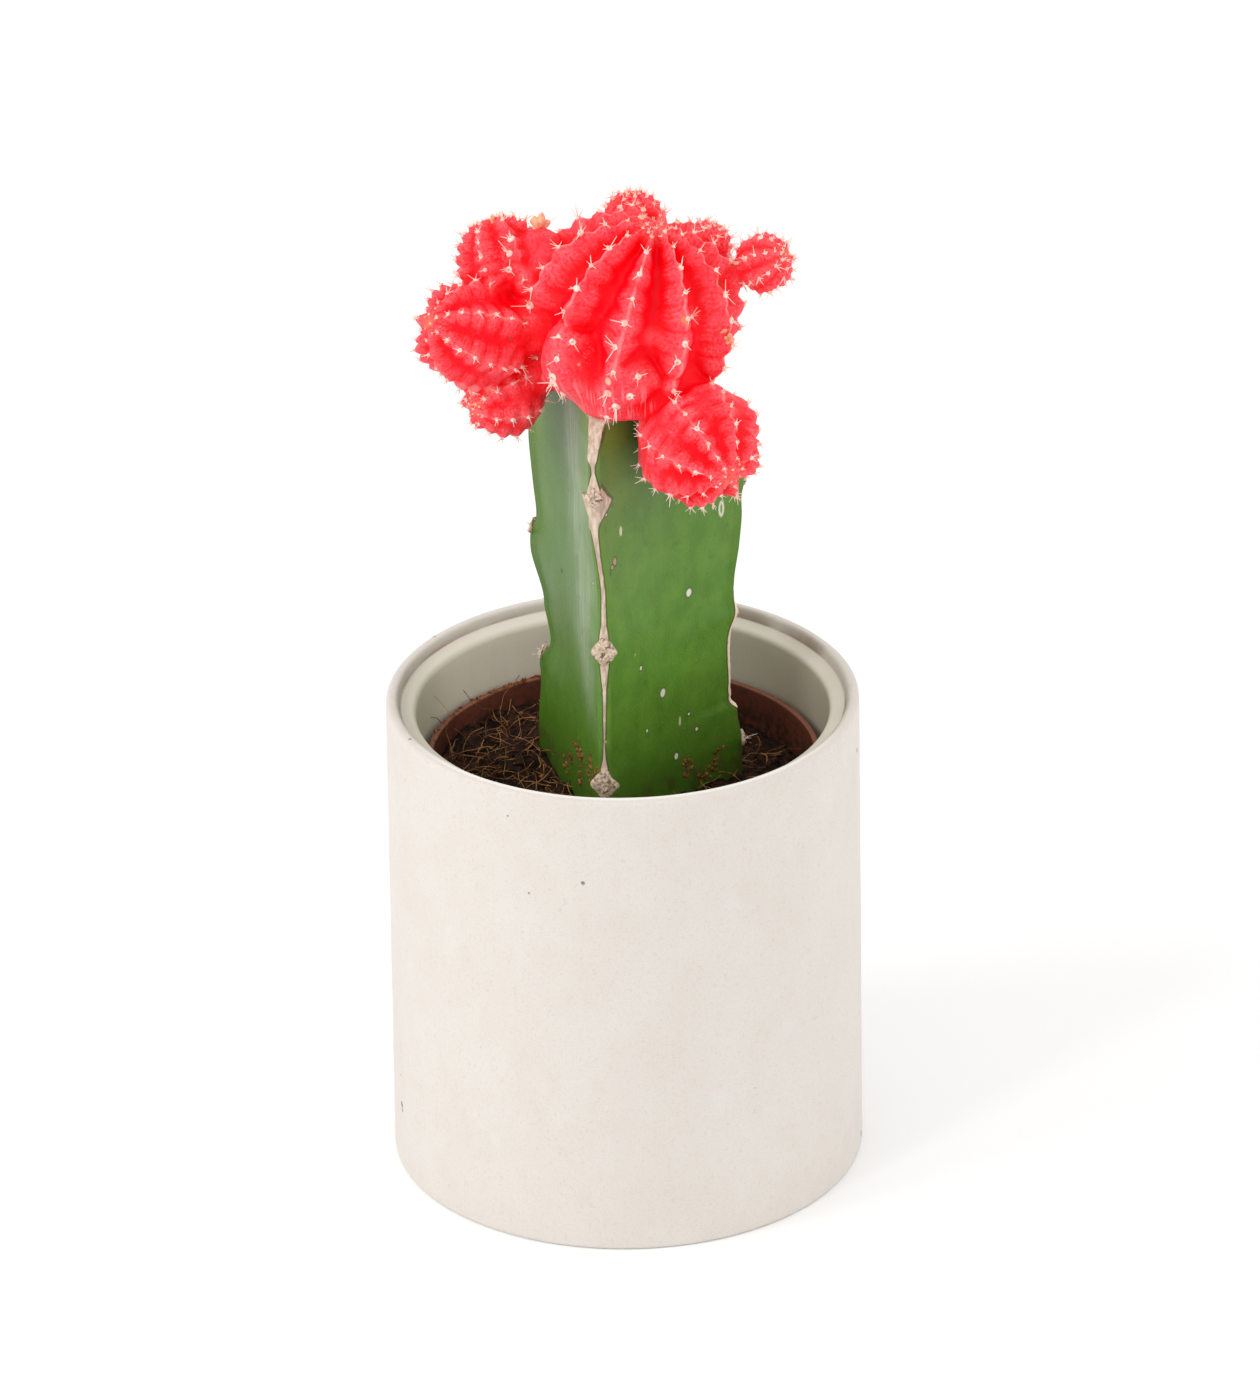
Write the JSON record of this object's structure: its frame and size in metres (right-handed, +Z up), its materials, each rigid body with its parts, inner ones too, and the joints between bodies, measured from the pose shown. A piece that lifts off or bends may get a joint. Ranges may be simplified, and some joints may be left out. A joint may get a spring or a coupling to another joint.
{
  "type": "potted moon cactus",
  "caption": "Red ribbed cactus globe with offsets, grafted on a three-angled green stem, in a thin nursery pot inside a smooth cylindrical concrete pot.",
  "frame": {"origin": "centre of the concrete pot's flat underside", "axes": "+Z up along the pot's axis, -Y towards the front of the plant"},
  "size_m": [0.0808, 0.0808, 0.1768],
  "materials": {
    "concrete": "smooth cast, matt",
    "nursery_plastic": "thin moulded, satin",
    "soil": "loose peat and coir, matt",
    "green_stem": "waxy skin, satin",
    "red_flesh": "fleshy waxy skin, satin"
  },
  "bodies": {
    "root": {"concrete_pot": "concrete", "nursery_pot": "nursery_plastic", "soil": "soil", "rootstock": "green_stem", "scion": "red_flesh"}
  },
  "joints": []
}
